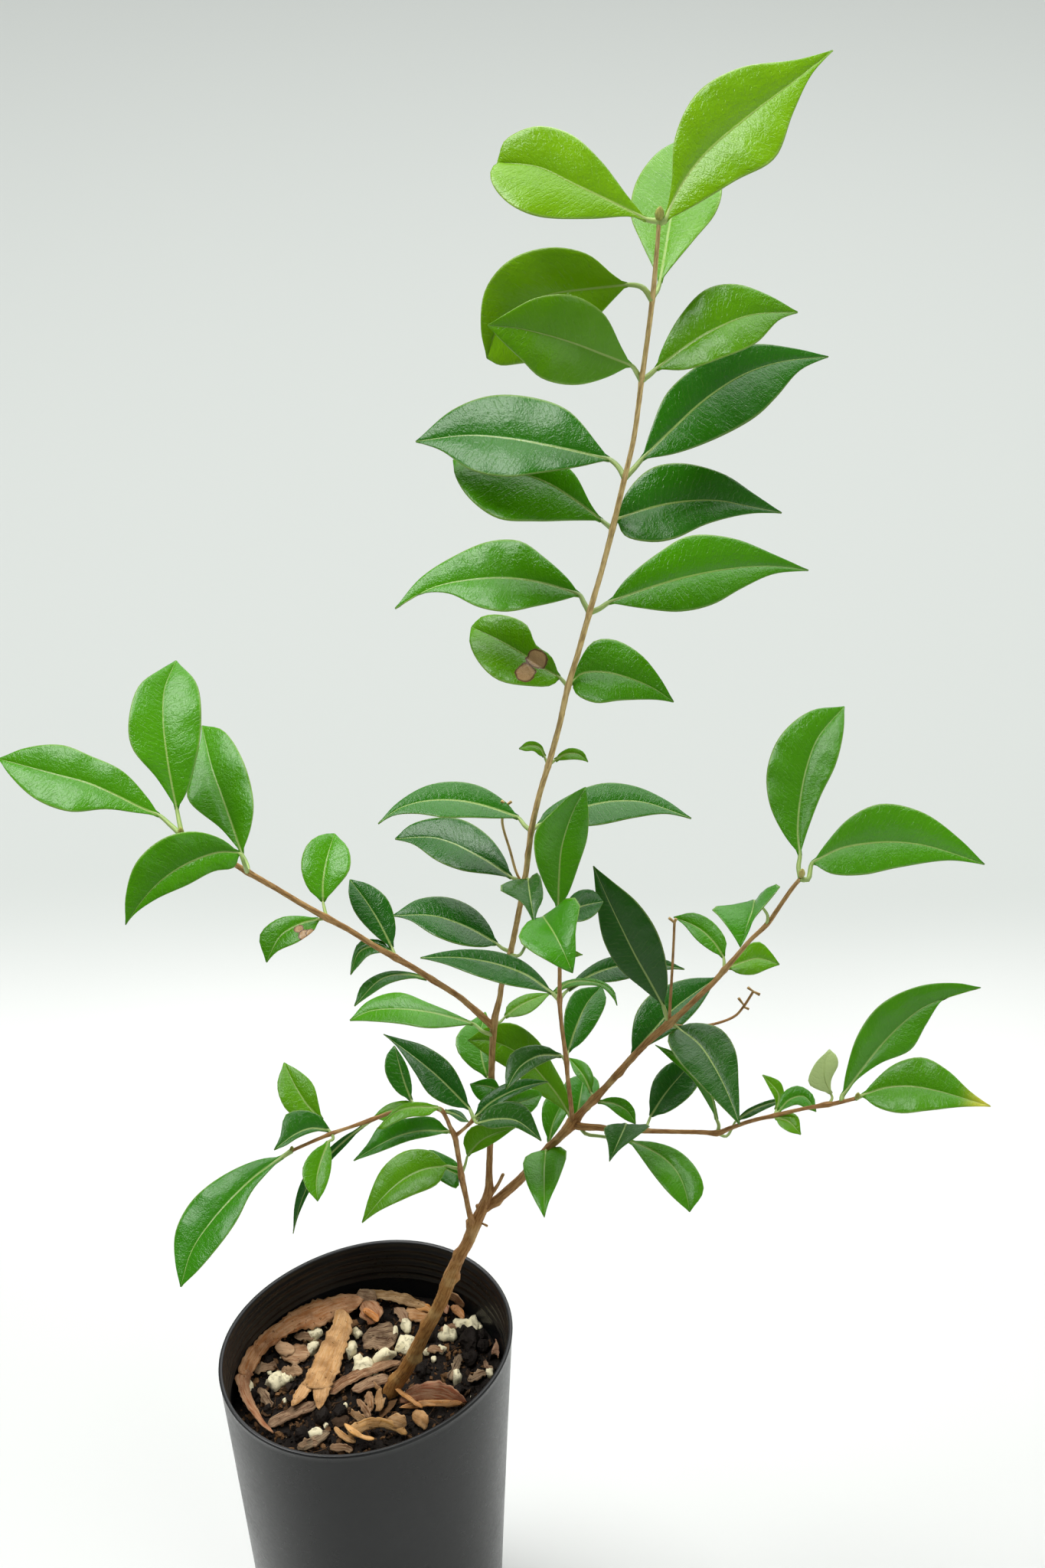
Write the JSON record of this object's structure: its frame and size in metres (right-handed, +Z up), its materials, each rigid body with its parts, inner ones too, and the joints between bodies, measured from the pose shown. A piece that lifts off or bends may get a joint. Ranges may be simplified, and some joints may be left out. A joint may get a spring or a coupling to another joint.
{
  "type": "potted cinnamon myrtle",
  "caption": "Young cinnamon myrtle with glossy opposite leaves on thin brown stems, in a black nursery tube pot of bark, perlite and leaf litter.",
  "frame": {"origin": "centre of the pot's base on the ground", "axes": "+Z up along the pot's axis; +X to the right and +Y away from the viewer, as in the picture"},
  "size_m": [0.2083, 0.0869, 0.4338],
  "materials": {
    "pot_plastic": "satin black moulded plastic",
    "mix": "damp composted bark with pale perlite grains",
    "foliage": "glossy waxy green leaves on brown woody stems",
    "dry_leaf": "dull, dry and brittle brown leaf",
    "dry_bark": "dull dry bark"
  },
  "bodies": {
    "root": {"pot": "pot_plastic", "potting_mix": "mix", "main_stem": "foliage", "left_branch": "foliage", "right_branch": "foliage", "right_lower_branch": "foliage", "centre_twig": "foliage", "left_lower_branch": "foliage", "gum_leaf_strip": "dry_leaf", "tan_bark_strip": "dry_bark", "curled_brown_leaf": "dry_leaf", "brown_flake": "dry_leaf", "ochre_leaf": "dry_leaf", "leaf_tongue": "dry_leaf", "dark_bark_chip": "dry_bark", "brown_strip": "dry_bark", "stick": "dry_bark", "red_brown_leaf": "dry_leaf", "front_curled_leaf": "dry_leaf", "leaf_scrap": "dry_leaf", "ochre_twig": "dry_bark", "front_dark_chip": "dry_bark", "red_bark_chip": "dry_bark"}
  },
  "joints": []
}
